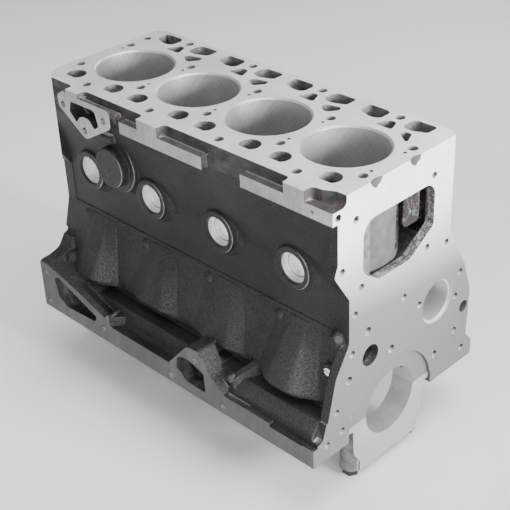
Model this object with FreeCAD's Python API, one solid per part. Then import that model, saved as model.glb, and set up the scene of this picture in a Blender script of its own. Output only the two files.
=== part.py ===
import FreeCAD, Part
import math
import os

# Frame: the origin is on the crankshaft axis in the middle of the centre main bearing.
# X runs to the timing end, Z runs up to the head face, and the dark painted side faces -Y.
# All sizes are in millimetres. An outline is a list of corners, each with a rounding radius if
# it has a third number.

# Cylinders
cylinder_count = 4
bore_radius = 52.0
bore_chamfer = 2.2
bore_pitch = 122.0
barrel_wall = 9.5
skirt_wall = 7.0
skirt_bottom_z = 112.0

# Overall faces
front_wall = 77.0
rear_wall = 74.5
deck_height = 323.75
rail_drop = 15.5
rail_near_y = -143.9
rail_far_y = 162.0
rail_height = 29.5
pad_face_y = -109.6

# Deck
deck_thickness = 12.0
deck_near_y = -96.5
deck_far_y = 111.0
head_bolt_radius = 6.4
head_bolt_depth = 60.0
head_bolt_column_radius = 12.0
bridge_bolt_y = 43.0
far_bolt_y = 97.0
near_bolt_y = -81.5
vent_radius = 2.4
vent_y = 29.0
feed_radius = 5.3
feed_y = 74.5
corner_sweep_x = 45.0
corner_sweep_y = 10.5
sweep_round = 60.0
sweep_foot_rise = 5.0
near_corner_cut = 27.0
near_corner_inset = 8.0
near_corner_round = 20.0
near_corner_foot_z = 196.0
scoop_depth_x = 40.5
scoop_lip = 13.5
scoop_y = -87.5
scoop_round = 8.0
notch_depth = 14.0
notch_wide_radius = 19.9
notch_narrow_radius = 16.4
notch_bite = 3.0
notch_ys = (28.0, -39.0)

# Deck openings, (x, y) from the cylinder axis
pocket_depth = 34.0
centre_pocket = [(-13.5, 65, 3), (13, 65, 3), (5.5, 84, 6), (-4.5, 84, 6)]
bridge_pocket = [(26, 63.5, 4), (34, 70, 8), (51, 74, 4), (54.5, 66, 6), (43, 51, 7)]
front_pocket = [(26.5, 63, 4), (29, 71, 4), (38, 71, 6), (46, 53, 4), (43, 51, 3)]
push_rod_lozenge = [(16.5, 103.5, 9), (50.5, 103.5, 5), (50.5, 83.5, 6), (31, 76.8, 9), (16.5, 78.5, 10)]
near_water_offset = 37.5
near_water_y = -68.0
near_water_radius = 13.2
near_water_flat_y = -78.0

# Water jacket
jacket_floor_z = 182.0
jacket_near_y = -86.5
jacket_waist_y = -74.0
jacket_far_y = 71.0
jacket_end_wall = 12.0
jacket_near_step = 55.0
jacket_waist_rise = 2.0
jacket_round = 20.0
front_column_foot_z = 227.0
front_column_radius = 14.0
front_column_round = 6.0
near_column_radius = 10.5

# Side wall on the dark side, its lower crease and the crankcase below it
wall_top_y = -100.0
wall_top_z = 281.5
wall_waist_y = -80.5
waist_z = 195.0
crease_z = 137.5
crease_half_width = 1.3
crease_depth = 1.8
skirt_foot_y = -103.0
skirt_foot_z = 54.0
undercut_y = -98.0
ledge_y = -121.0
ledge_z = 36.0
rail_root_y = -128.0
crankcase_wall = 9.0
bay_roof_z = 165.0
bay_roof_near_y = -65.0
bay_shelf_y = 54.0
bay_shelf_z = 138.0
bay_cam_y = 114.0
bay_far_y = 123.0
bay_round = 10.0

# Swells of the crankcase wall round the crank throws
swell_top_z = 132.0
swell_foot_z = 53.0
swell_under_z = 46.0
swell_top_half = 32.0
swell_foot_half = 48.0
swell_top_crown = 12.0
swell_foot_crown = 20.0
swell_top_depth = 0.9
swell_foot_depth = 8.8
swell_end_depth = 21.0
swell_foot_round = 5.0
swell_blend = 38.0
swell_run_out = 12.0
swell_skin = 0.6

# Lower wall of the front bay, where the ledge falls back towards the timing end
front_bay_start_x = 176.0
front_bay_end_x = 226.0
front_bay_lip_y = -105.0
shoulder_start_x = 110.0
shoulder_lip = 1.0
shoulder_y = -134.5
shoulder_z = 22.5
shoulder_round = 7.0
rail_step_start_x = 189.0
rail_step_drop = 3.4
rail_step_width = 7.5
rail_edge_end_x = 243.0
rail_edge_width = 2.6
rail_edge_drop = 1.8

# Side wall on the camshaft side
cam_side_y = 108.0
cam_side_waist_z = 182.5
far_wall = [(148.5, 22, 6), (151.5, 90, 40), (136, 136, 16)]

# Joint flanges at the two ends, (y, z) on the dark side
timing_flange_thickness = 12.0
timing_flange_foot_width = 17.0
timing_flange_skirt = [(-117.5, 40, 30), (-104.5, 92, 30), (-82, 129, 14), (-82, 189.5, 6)]
timing_flange_ear = [(-107.2, 229.5, 8), (-101.5, 243, 6), (-101.5, 300)]
flywheel_flange_thickness = 18.0
flywheel_flange_skirt = [(-127, 59.5, 6), (-109, 64.5, 16), (-97, 83, 30), (-85.5, 105.5, 14), (-81, 124, 8)]
flywheel_flange_ear = [(-81, 191.5, 3), (-96, 213.5, 6)]
flare_reach = 40.0
flare_root = (-93.0, 50.0)
flare_outline = [(-93, 92), (-102.5, 72.5), (-109, 65), (-117, 61), (-140, 57.5), (-140, 50), (-93, 50)]
flare_end_share = 0.3
corner_bump_place = (-229.0, -105.5, 56.0)
corner_bump_radius = 11.0

# Machined strips and necks beside the deck
strip_drop = 13.25
strip_height = 16.1
strip_spans = ((-87.0, 60.0), (123.0, 260.0))
neck_spans = ((-54.0, -15.5), (188.0, 220.3), (-192.0, -166.5))
neck_fillet = 6.0
neck_edge = 2.0
strip_pin_x = 231.0
strip_pin_depth = 8.0

# Three-hole flange beside the deck, about the middle of its two upper holes; the channel is in plan
flange_x = -158.5
flange_half = 40.5
flange_top_z = 301.2
flange_drop = 25.2
flange_outline = [
    (-36, 20.5, 2), (-51.5, 11, 9), (-50.5, -4, 9), (0, -37.5, 10), (54.5, -6.5, 9),
    (53.5, 17, 7), (-36, 17),
]
flange_channel = [(-5, -105.8, 4), (56, -105.8), (56, -97.5), (-5, -97.5, 4)]
flange_channel_drop = 9.5
flange_mouth = [
    (-24, 8.5, 2), (-28, -6, 3), (-15.5, -18, 2), (-8, -8.5, 5), (0, -6, 6),
    (11, -6.5, 7), (20, -17.5, 3), (29.5, -11, 4), (24, 9.2, 7),
]

# Blank boss and small cast marks of the dark wall
blank_boss_x = -120.0
blank_boss_z = 234.5
blank_boss_radius = 27.0
blank_boss_y = -108.0
blank_boss_flare_y = -98.0
blank_boss_foot_radius = 42.0
blank_ring_radius = 37.5
blank_ring_y = -96.5
blank_ring_flare_y = -91.5
blank_ring_foot_radius = 48.0
blank_boss_blend = 5.0
boss_edge_round = 2.2
boss_sink = 4.0
bump_offset_x = -30.0
bump_z = 121.5
bump_radius = 11.6
bump_y = -87.2
lower_nub = ((-133, -99, 274.5), (-112, -99, 274.5), 6.8)
upper_nub = ((-113, -103, 311.8), (-94.5, -103, 311.8), 5.6)
nub_end = 2.4
small_boss_flare_y = -89.0
small_boss_flare = 7.0
small_boss_blend = 4.0
lug_radius = 7.0
lug_x = 243.0
lug_y = -92.5
lug_z = 131.0

# Hollow mounting pads on the pan rail, (x, z)
pad_hollow_depth = 24.0
rear_pad_top_z = 58.5
rear_pad_slope = [(-240, 58.5, 8), (-174.7, 41.5), (-139.2, 29.5), (-119.5, 23.5, 1)]
rear_pad_end = [(-112.5, 30.5, 1.2), (-109.3, 30.5, 1), (-110, 16, 2)]
rear_pad_end_x = -104.0
pad_top_round = 4.0
rear_pad_hollow = [
    (-227, 42, 6), (-217, 46, 4), (-136, 15.5, 3), (-143, 6.5, 3), (-163, 5.4, 3),
    (-205, 3, 6), (-221, 13, 5),
]
rear_slot = [(-207, -131.5, 2), (-196, -133.5, 9), (-121, -134.5, 4), (-119, -126, 4), (-186, -126, 20)]
rear_slot_floor_z = 16.0
gusset = [(-111, -142), (-111, -122), (-94, -125, 2)]
gusset_top_z = 27.0
middle_pad_start_x = 9.0
middle_pad_end_x = 112.0
middle_pad_top = [(47.5, 57, 10), (69, 58.5, 9), (87, 33.5, 20)]
middle_pad_hollow = [
    (27, 30, 8), (37, 36, 6), (50, 36.5, 5), (76, 29.5, 6), (78, 0, 4),
    (41, 1, 3), (33, 10, 4), (24, 12, 5),
]
middle_pocket = [(66, -115, 5), (88, -120, 6), (112, -133, 4), (124, -128, 4), (124, -92), (66, -92)]
pad_bolt_places = ((-244.75, 43), (-244.75, -4.5), (-123.5, 3.8), (12.5, -5.1), (109, -5.1), (61, 42.5))
pad_bury = 4.0
pad_bolt_depth = 18.0

# Slanting rib and knob beside the middle pad
knob_radius = 6.6
knob_place = (114.0, -131.5, 36.0)
rib_plan = [(112, -134, 3), (121, -134, 3), (137, -106, 20), (139, -88), (129, -88), (127, -106, 20)]
rib_slope = [(-136, 20), (-136, 37, 3), (-128, 41.5, 4), (-106, 54, 6), (-86, 60), (-86, 20)]
rib_low_z = 21.0
rib_high_z = 72.0

# Main bearings
main_bore_radius = 45.0
main_width = 32.0
seal_recess_depth = 4.0
seal_recess_radius = 79.0
seal_recess_y = -3.0
seal_recess_z = -12.0
rear_seal_radius = 73.0
saddle_height = 74.0
saddle_shoulder_y = 90.5
web_thickness = 14.0
saddle_foot = 14.0
saddle_crown = 6.0
saddle_knee_z = 24.0
saddle_round = 34.0
cap_half_width = 76.5
cap_shoulder_height = 8.5
cap_waist_half_width = 69.0
cap_foot_half_width = 55.0
cap_knee_z = -46.0
cap_foot_z = -65.0
cap_knee_inset = 1.5
cap_foot_inset = 1.0
cap_depth = 79.5
cap_fit_gap = 0.1
cap_leg_radius = 14.0
cap_bolt_y = 54.0
cap_bolt_radius = 6.35
cap_bolt_clearance = 0.2
cap_bolt_reach = 46.0
cap_bolt_hole_depth = 54.0
cap_bolt_head_radius = 11.0
cap_bolt_head_height = 10.0
ring_dowel_radius = 8.2
ring_dowel_bore_gap = 0.4
ring_dowel_half_length = 6.0

# Camshaft tunnel, tappets and oil gallery
cam_y = 82.5
cam_z = 106.0
cam_journal_radius = 25.5
cam_recess_radius = 29.8
cam_recess_depth = 3.5
cam_bush_outer_radius = 28.5
cam_bush_inner_radius = 26.8
cam_bush_length = 30.0
cam_boss_radius = 36.0
cam_plug_depth = 9.0
tappet_radius = 9.5
tappet_y = 86.0
tappet_offset_x = 33.5
tappet_floor_z = 168.0
gallery_y = 139.0
gallery_z = 70.0
gallery_radius = 5.5
gallery_mouth_radius = 8.4
gallery_mouth_depth = 22.0
oilway_radius = 3.0
oilway_start_radius = 36.0

# Core plugs in the dark side
plug_radius = 19.8
plug_z = 204.5
plug_ring_radius = 27.5
plug_ring_y = -93.0
plug_ring_flare_y = -88.5
plug_ring_foot_radius = 39.0
plug_ring_blend = 6.0
plug_rim_y = -89.0
plug_depth = 8.5
plug_sheet = 1.6
plug_round = 2.0

# Oil gallery plug in the dark side
oil_plug_boss_x = 241.5
oil_plug_boss_y = -98.0
oil_plug_boss_z = 91.0
oil_plug_boss_radius = 9.0
oil_plug_radius = 5.2
oil_plug_length = 12.0
oil_plug_stand = 1.0
oil_plug_hole_depth = 30.0
plug_slot_width = 1.9
plug_slot_depth = 2.0

# Front face, (y, z)
water_mouth_near_half = [(-59.5, 278.5, 20), (-59.5, 214, 16), (-32, 193.5, 14)]
water_mouth_far_half = [(24, 193.5, 26), (67, 221, 10), (67, 278.5, 18)]
idler_y = -44.0
idler_z = 94.0
idler_radius = 14.2
idler_depth = 18.0
idler_tail_radius = 10.5
idler_tail_depth = 32.0
front_bolt_radius = 4.6
large_bolt_radius = 5.6
front_dowel_radius = 4.9
front_dowel_depth = 14.0
front_bolt_depth = 22.0
upper_front_bolts = [(-101, 302), (-72, 288), (64, 287), (-94.5, 232), (-62, 197), (56, 195), (94, 185)]
middle_front_bolts = [(-72, 165), (16, 145), (127.5, 127.5), (46, 119), (-76.5, 113), (119.5, 95)]
lower_front_bolts = [(-103.5, 43.5), (121.5, 42), (-74, 20), (-120, 5.5), (139.5, 5.5)]
large_front_bolts = [(-5.5, 82), (-82, 78), (-49.5, 131)]
front_dowel_places = [(81.5, 26.5), (-94, 11)]

# Rear face, (y, z)
rear_plug_radius = 24.0
rear_plug_z = 250.0
rear_plug_seat_depth = 16.0
rear_plug_inset = 1.5
rear_dowel_radius = 6.0
rear_dowel_length = 22.0
rear_dowel_stand = 9.0
rear_dowel_y = 112.0
rear_dowel_z = 8.0
rear_gallery_plug_length = 14.0
rear_gallery_plug_inset = 1.0
near_rear_bolts = [(-128, 44), (-96, 88), (-72, 150), (-60, 210)]
far_rear_bolts = [(62, 210), (112, 150), (136, 40), (96, 40)]

# Pan rail
rail_hole_radius = 3.9
rail_hole_depth = 20.0
rail_hole_inset = 12.0
rail_wall = 26.0

# How far a cut runs past the face it opens
overrun = 1.0

# Counts and places worked out from the sizes above
first_cylinder_x = 0.5 * (cylinder_count - 1) * bore_pitch
cylinder_xs = [first_cylinder_x - i * bore_pitch for i in range(cylinder_count)]
bridge_xs = [first_cylinder_x + (0.5 - i) * bore_pitch for i in range(cylinder_count + 1)]
front_x = first_cylinder_x + front_wall
rear_x = -first_cylinder_x - rear_wall
front_main_face_x = front_x - seal_recess_depth
rear_main_face_x = rear_x + seal_recess_depth
barrel_radius = bore_radius + barrel_wall
jacket_top_z = deck_height - deck_thickness
strip_top_z = deck_height - strip_drop
strip_bottom_z = strip_top_z - strip_height
rail_top_z = rail_height - rail_drop
register_y = cap_half_width + cap_fit_gap
boss_inner_y = wall_waist_y + boss_sink
pad_inner_y = undercut_y + pad_bury
cap_bolt_hole_radius = cap_bolt_radius + cap_bolt_clearance
above_deck_z = deck_height + overrun
cam_bush_end_x = front_x - cam_recess_depth
cam_bush_start_x = cam_bush_end_x - cam_bush_length
main_xs = [front_main_face_x - 0.5 * main_width]
main_xs += [x - 0.5 * bore_pitch for x in cylinder_xs[:-1]]
main_xs += [rear_main_face_x + 0.5 * main_width]
cap_bolt_places = [(x, y) for x in main_xs for y in (-cap_bolt_y, cap_bolt_y)]


# Helpers
def rounded_wire(corners, place):
    """Closed wire through the corners, with an arc of the given radius at each rounded one."""
    longest_share = 0.49
    flat = [FreeCAD.Vector(c[0], c[1], 0) for c in corners]
    count = len(flat)
    cuts = []
    for i, corner in enumerate(corners):
        here = flat[i]
        to_last = flat[i - 1] - here
        to_next = flat[(i + 1) % count] - here
        if len(corner) < 3:
            cuts.append((here, None, here))
            continue
        half = 0.5 * to_last.getAngle(to_next)
        most = longest_share * min(to_last.Length, to_next.Length)
        reach = min(corner[2] / math.tan(half), most)
        radius = reach * math.tan(half)
        start = here + to_last.normalize() * reach
        end = here + to_next.normalize() * reach
        inward = (start + end) * 0.5 - here
        centre = here + inward.normalize() * (radius / math.sin(half))
        middle = centre + (here - centre).normalize() * radius
        cuts.append((start, middle, end))
    edges = []
    for i in range(count):
        start, middle, end = cuts[i]
        following = cuts[(i + 1) % count][0]
        if middle is not None:
            edges.append(Part.Arc(place(start), place(middle), place(end)).toShape())
        edges.append(Part.makeLine(place(end), place(following)))
    return Part.Wire(edges)


def section_x(corners, x):
    """Outline in (y, z) as a wire at one X."""
    return rounded_wire(corners, lambda p: FreeCAD.Vector(x, p.x, p.y))


def section_z(corners, z):
    """Outline in (x, y) as a wire at one Z."""
    return rounded_wire(corners, lambda p: FreeCAD.Vector(p.x, p.y, z))


def prism_x(corners, x0, x1):
    """Outline in (y, z), carried along X."""
    return Part.Face(section_x(corners, x0)).extrude(FreeCAD.Vector(x1 - x0, 0, 0))


def prism_y(corners, y0, y1):
    """Outline in (x, z), carried along Y."""
    wire = rounded_wire(corners, lambda p: FreeCAD.Vector(p.x, y0, p.y))
    return Part.Face(wire).extrude(FreeCAD.Vector(0, y1 - y0, 0))


def prism_z(corners, z0, z1):
    """Outline in (x, y), carried along Z."""
    return Part.Face(section_z(corners, z0)).extrude(FreeCAD.Vector(0, 0, z1 - z0))


def rod(start, end, radius):
    """Round bar or drilling between two points."""
    a = FreeCAD.Vector(*start)
    b = FreeCAD.Vector(*end)
    return Part.makeCylinder(radius, (b - a).Length, a, b - a)


def rod_x(x0, x1, y, z, radius):
    return rod((x0, y, z), (x1, y, z), radius)


def rod_y(x, y0, y1, z, radius):
    return rod((x, y0, z), (x, y1, z), radius)


def rod_z(x, y, z0, z1, radius):
    return rod((x, y, z0), (x, y, z1), radius)


def box(x0, x1, y0, y1, z0, z1):
    return Part.makeBox(x1 - x0, y1 - y0, z1 - z0, FreeCAD.Vector(x0, y0, z0))


def beside(corners, x, side=1, up=0):
    """The outline moved along its two axes, and mirrored in the first when side is -1."""
    moved = [(side * c[0] + x, c[1] + up) + tuple(c[2:]) for c in corners]
    return moved[::side]


def spun(corners):
    """Outline in (radius, height), turned all the way round the Z axis."""
    wire = rounded_wire(corners, lambda p: FreeCAD.Vector(p.x, 0, p.y))
    return Part.Face(wire).revolve(FreeCAD.Vector(0, 0, 0), FreeCAD.Vector(0, 0, 1), 360)


def placed(shape, position, direction):
    """The shape with its Z axis turned to a direction and moved to a position."""
    turn = FreeCAD.Rotation(FreeCAD.Vector(0, 0, 1), FreeCAD.Vector(*direction))
    moved = shape.copy()
    moved.Placement = FreeCAD.Placement(FreeCAD.Vector(*position), turn)
    return moved


# Outer form
def body_profile():
    """Section across the crankcase and jacket walls, without flanges, pads or swells."""
    near_side = [
        (deck_near_y, deck_height),
        (deck_near_y, jacket_top_z, 2),
        (wall_top_y, jacket_top_z - boss_sink, 3),
        (wall_top_y, wall_top_z, 20),
        (wall_waist_y, waist_z, 40),
        (wall_waist_y, crease_z + crease_half_width),
        (wall_waist_y + crease_depth, crease_z),
        (wall_waist_y, crease_z - crease_half_width),
        (skirt_foot_y, skirt_foot_z, 3),
        (undercut_y, skirt_foot_z - swell_foot_round, 4),
        (undercut_y, ledge_z, 3),
        (ledge_y, ledge_z, 2),
        (rail_root_y, rail_top_z, 5),
        (rail_near_y, rail_top_z, 1),
        (rail_near_y, -rail_drop),
    ]
    far_side = [
        (cam_side_y, cam_side_waist_z, 14),
        (cam_side_y, jacket_top_z - boss_sink, 3),
        (deck_far_y, jacket_top_z, 2),
        (deck_far_y, deck_height),
    ]
    far_rail = [(rail_far_y, -rail_drop), (rail_far_y, 0.5 * rail_top_z, 8)]
    return near_side + far_rail + far_wall + far_side


def timing_flange_profile():
    """Outline of the timing-case joint on the dark side of the front face."""
    foot = [
        (0, -rail_drop),
        (rail_near_y, -rail_drop),
        (rail_near_y, rail_top_z, 1),
        (rail_near_y + timing_flange_foot_width, rail_top_z, 16),
    ]
    head = [(deck_near_y, jacket_top_z), (0, jacket_top_z)]
    return foot + timing_flange_skirt + timing_flange_ear + head


def flywheel_flange_profile():
    """Outline of the flywheel-housing joint on the dark side of the rear face."""
    foot = [(0, -rail_drop), (rail_near_y, -rail_drop), (rail_near_y, rear_pad_top_z, 6)]
    head = [(deck_near_y, jacket_top_z), (0, jacket_top_z)]
    return foot + flywheel_flange_skirt + flywheel_flange_ear + head


def rear_flare():
    """Fillet between the flywheel joint, the rear pad and the wall, running out along the block."""
    root_y, root_z = flare_root
    share = flare_end_share
    end = [(root_y + share * (y - root_y), root_z + share * (z - root_z)) for y, z in flare_outline]
    start_x = rear_x + flywheel_flange_thickness - overrun
    wires = [section_x(flare_outline, start_x), section_x(end, rear_x + flare_reach)]
    return Part.makeLoft(wires, True, True)


def wall_slope_y(z):
    """Y of the sloping crankcase wall at a height between the crease and the foot."""
    share = (crease_z - z) / (crease_z - skirt_foot_z)
    return wall_waist_y + share * (skirt_foot_y - wall_waist_y)


def swell_section(x, z, half, crown, depth):
    """Plan section of one swell at a height, its sides blended into the wall."""
    sunk_y = wall_slope_y(z) + swell_skin
    low_x = x - half - swell_run_out
    high_x = x + half + swell_run_out
    return [
        (low_x, sunk_y),
        (x - half, sunk_y, swell_blend),
        (x - crown, sunk_y - depth, swell_blend),
        (x + crown, sunk_y - depth, swell_blend),
        (x + half, sunk_y, swell_blend),
        (high_x, sunk_y),
        (high_x, boss_inner_y),
        (low_x, boss_inner_y),
    ]


def crankcase_swell(x):
    """Swell of the crankcase wall round one crank throw, widening downward to a rounded foot."""
    end = x in (cylinder_xs[0], cylinder_xs[-1])
    depth = swell_end_depth if end else swell_foot_depth
    top = swell_section(x, swell_top_z, swell_top_half, swell_top_crown, swell_top_depth)
    foot = swell_section(x, swell_foot_z, swell_foot_half, swell_foot_crown, depth)
    under_depth = depth - swell_foot_round
    under = swell_section(x, swell_foot_z, swell_foot_half, swell_foot_crown, under_depth)
    wires = [section_z(top, swell_top_z), section_z(foot, swell_foot_z), section_z(under, swell_under_z)]
    return Part.makeLoft(wires, True, True)


def neck(x0, x1):
    """Full-height bridge from the deck edge to a strip, with rounded corners in plan."""
    wide = neck_fillet + neck_fillet + neck_edge
    plan = [
        (x0 - wide, deck_near_y + neck_edge),
        (x0 - wide, deck_near_y),
        (x0, deck_near_y, neck_fillet),
        (x0, pad_face_y, neck_edge),
        (x1, pad_face_y, neck_edge),
        (x1, deck_near_y, neck_fillet),
        (x1 + wide, deck_near_y),
        (x1 + wide, deck_near_y + neck_edge),
    ]
    return prism_z(plan, strip_bottom_z, deck_height)


def side_pads():
    """Machined strips, necks and the three-hole flange that share one face beside the deck."""
    pads = [box(x0, x1, pad_face_y, boss_inner_y, strip_bottom_z, strip_top_z) for x0, x1 in strip_spans]
    pads += [neck(x0, x1) for x0, x1 in neck_spans]
    flange = prism_y(beside(flange_outline, flange_x, 1, flange_top_z), pad_face_y, boss_inner_y)
    channel = prism_z(beside(flange_channel, flange_x), deck_height - flange_channel_drop, above_deck_z)
    return pads + [flange.cut(channel)]


def round_boss(x, z, radius, face_y, flare_y, foot_radius, blend):
    """Cast boss on the dark wall, with a rounded rim and a hollow curve down to its foot."""
    outline = [
        (0, 0),
        (foot_radius, 0),
        (radius, boss_inner_y - flare_y, blend),
        (radius, boss_inner_y - face_y, boss_edge_round),
        (0, boss_inner_y - face_y),
    ]
    return placed(spun(outline), (x, boss_inner_y, z), (0, -1, 0))


def small_boss(x, y, z, radius):
    """Round boss for one small plug or cast mark."""
    return round_boss(x, z, radius, y, small_boss_flare_y, radius + small_boss_flare, small_boss_blend)


def stub(start, end, radius):
    """Round cast stub along X with a softened end."""
    length = end[0] - start[0]
    outline = [(0, 0), (radius, 0), (radius, length, nub_end), (0, length)]
    return placed(spun(outline), start, (1, 0, 0))


def side_bosses():
    """Core plug rings, the blank boss, small cast bumps and nubs on the dark side."""
    ring = (plug_ring_radius, plug_ring_y, plug_ring_flare_y, plug_ring_foot_radius, plug_ring_blend)
    blank = (blank_boss_radius, blank_boss_y, blank_boss_flare_y, blank_boss_foot_radius, blank_boss_blend)
    ring_flare = (blank_ring_flare_y, blank_ring_foot_radius, blank_boss_blend)
    blank_ring = (blank_ring_radius, blank_ring_y, *ring_flare)
    bosses = []
    for x in cylinder_xs:
        bosses.append(round_boss(x, plug_z, *ring))
        bump_place = FreeCAD.Vector(x + bump_offset_x, bump_y + bump_radius, bump_z)
        bosses.append(Part.makeSphere(bump_radius, bump_place))
    bosses.append(round_boss(blank_boss_x, blank_boss_z, *blank_ring))
    bosses.append(round_boss(blank_boss_x, blank_boss_z, *blank))
    bosses.append(stub(*lower_nub))
    bosses.append(stub(*upper_nub))
    bosses.append(small_boss(oil_plug_boss_x, oil_plug_boss_y, oil_plug_boss_z, oil_plug_boss_radius))
    bosses.append(small_boss(lug_x, lug_y, lug_z, lug_radius))
    bosses.append(Part.makeSphere(corner_bump_radius, FreeCAD.Vector(*corner_bump_place)))
    return bosses


def rail_pads():
    """Two hollow mounting pads that rise from the pan rail on the dark side, with a slot behind one."""
    low_z = rail_top_z - overrun
    rear_outline = [(rear_x, -rail_drop), (rear_x, rear_pad_top_z, pad_top_round)]
    rear_outline += rear_pad_slope + rear_pad_end
    rear_outline += [(rear_pad_end_x, low_z), (rear_pad_end_x, -rail_drop)]
    rear_pad = prism_y(rear_outline, rail_near_y, pad_inner_y)
    high_z = rear_pad_top_z + pad_bury
    rear_pad = rear_pad.cut(prism_z(rear_slot, rear_slot_floor_z, high_z))
    middle_outline = [(middle_pad_start_x, low_z)] + middle_pad_top + [(middle_pad_end_x, low_z)]
    middle_pad = prism_y(middle_outline, rail_near_y, pad_inner_y)
    middle_pad = middle_pad.cut(prism_z(middle_pocket, ledge_z + overrun, high_z))
    return [rear_pad, middle_pad, prism_z(gusset, low_z, gusset_top_z)]


def slanting_rib():
    """Small cast rib from the middle pad up to the front bay, with the knob at its turn."""
    low_x = min(c[0] for c in rib_plan) - overrun
    high_x = max(c[0] for c in rib_plan) + overrun
    rib = prism_z(rib_plan, rib_low_z, rib_high_z).common(prism_x(rib_slope, low_x, high_x))
    return [rib, Part.makeSphere(knob_radius, FreeCAD.Vector(*knob_place))]


def front_shoulder():
    """Rounded wall between the ledge and the rail, from the middle pad to the timing end."""
    outline = [
        (undercut_y, ledge_z),
        (ledge_y - shoulder_lip, ledge_z, 3),
        (shoulder_y, shoulder_z, shoulder_round),
        (shoulder_y - shoulder_lip, rail_top_z - rail_step_drop - overrun),
        (undercut_y, rail_top_z - rail_step_drop - overrun),
    ]
    return prism_x(outline, shoulder_start_x, front_x - timing_flange_thickness + overrun)


def front_bay_fall():
    """Wedge taken off the ledge, so that its lip falls back towards the timing end."""
    above_z = ledge_z + overrun
    outer = [(shoulder_y, shoulder_z), (rail_near_y, shoulder_z), (rail_near_y, above_z)]
    start = [(ledge_y - shoulder_lip - overrun, above_z)] + outer
    end = [(front_bay_lip_y, above_z)] + outer
    return Part.makeLoft([section_x(start, front_bay_start_x), section_x(end, front_bay_end_x)], True, True)


def rail_steps():
    """Lowered end of the machined rail face under the front bay, with a narrow second step."""
    above_z = rail_top_z + overrun
    outer_y = rail_near_y - overrun
    step_z = rail_top_z - rail_step_drop
    edge_z = step_z - rail_edge_drop
    step = box(rail_step_start_x, front_x + overrun, outer_y, rail_near_y + rail_step_width, step_z, above_z)
    edge = box(rail_step_start_x, rail_edge_end_x, outer_y, rail_near_y + rail_edge_width, edge_z, above_z)
    return [step, edge]


def outer_casting():
    """Everything outside, as one solid with no hollows yet."""
    core = prism_x(body_profile(), rear_x, front_x).fuse(front_shoulder()).cut(front_bay_fall())
    parts = [prism_x(timing_flange_profile(), front_x - timing_flange_thickness, front_x)]
    parts.append(prism_x(flywheel_flange_profile(), rear_x, rear_x + flywheel_flange_thickness))
    parts.append(rear_flare())
    parts += [crankcase_swell(x) for x in cylinder_xs]
    parts += side_pads()
    parts += side_bosses()
    parts += rail_pads()
    parts += slanting_rib()
    return core.fuse(parts).cut(rail_steps())


def far_corner_sweeps():
    """Plan curves of the two upper corners on the camshaft side, down to the sloping wall."""
    swept_y = deck_far_y - corner_sweep_y
    outside_y = far_wall[-1][0]
    steepness = (cam_side_waist_z - far_wall[-1][1]) / (outside_y - cam_side_y)
    foot_z = cam_side_waist_z + sweep_foot_rise
    low_z = foot_z - steepness * (outside_y - cam_side_y)
    high_z = foot_z + steepness * (cam_side_y - swept_y + overrun)
    inner_y = swept_y - overrun
    floor = [(outside_y, low_z), (outside_y, above_deck_z), (inner_y, above_deck_z), (inner_y, high_z)]
    sweeps = []
    for end_x, inward in ((front_x + overrun, -1), (rear_x - overrun, 1)):
        start_x = end_x + inward * corner_sweep_x
        plan = [
            (start_x, deck_far_y + overrun),
            (end_x + inward * corner_sweep_x / 3, deck_far_y, sweep_round),
            (end_x, swept_y),
            (end_x, outside_y),
            (start_x, outside_y),
        ]
        sweep = prism_z(plan, low_z, above_deck_z)
        sweeps.append(sweep.common(prism_x(floor, min(start_x, end_x), max(start_x, end_x))))
    return sweeps


def corner_trims():
    """Rounded plan corners of the upper body, the scooped front corner and the deck edge notches."""
    outer_y = pad_face_y - overrun
    corner_x = rear_x + near_corner_cut
    near_corner = [
        (rear_x - overrun, deck_near_y + near_corner_cut),
        (rear_x + near_corner_inset, deck_near_y + near_corner_inset, near_corner_round),
        (corner_x, wall_top_y - overrun),
        (corner_x, outer_y),
        (rear_x - overrun, outer_y),
    ]
    scoop_x = front_x - scoop_depth_x
    scoop = [
        (scoop_x, outer_y),
        (scoop_x, deck_near_y, 5),
        (scoop_x + scoop_lip, deck_near_y + neck_edge, 10),
        (scoop_x + 2 * scoop_lip, scoop_y, 10),
        (front_x + overrun, scoop_y),
        (front_x + overrun, outer_y),
    ]
    scoop_floor = [
        (outer_y, strip_top_z),
        (scoop_y, strip_top_z, scoop_round),
        (scoop_y, above_deck_z),
        (outer_y, above_deck_z),
    ]
    scoop_cut = prism_z(scoop, strip_top_z, above_deck_z)
    trims = far_corner_sweeps()
    trims.append(prism_z(near_corner, near_corner_foot_z, above_deck_z))
    trims.append(scoop_cut.common(prism_x(scoop_floor, scoop_x - overrun, front_x + overrun)))
    notch_x = front_x - notch_bite + notch_wide_radius
    for y in notch_ys:
        foot = FreeCAD.Vector(notch_x, y, deck_height - notch_depth)
        trims.append(Part.makeCone(notch_narrow_radius, notch_wide_radius, notch_depth, foot))
    return trims


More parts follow.
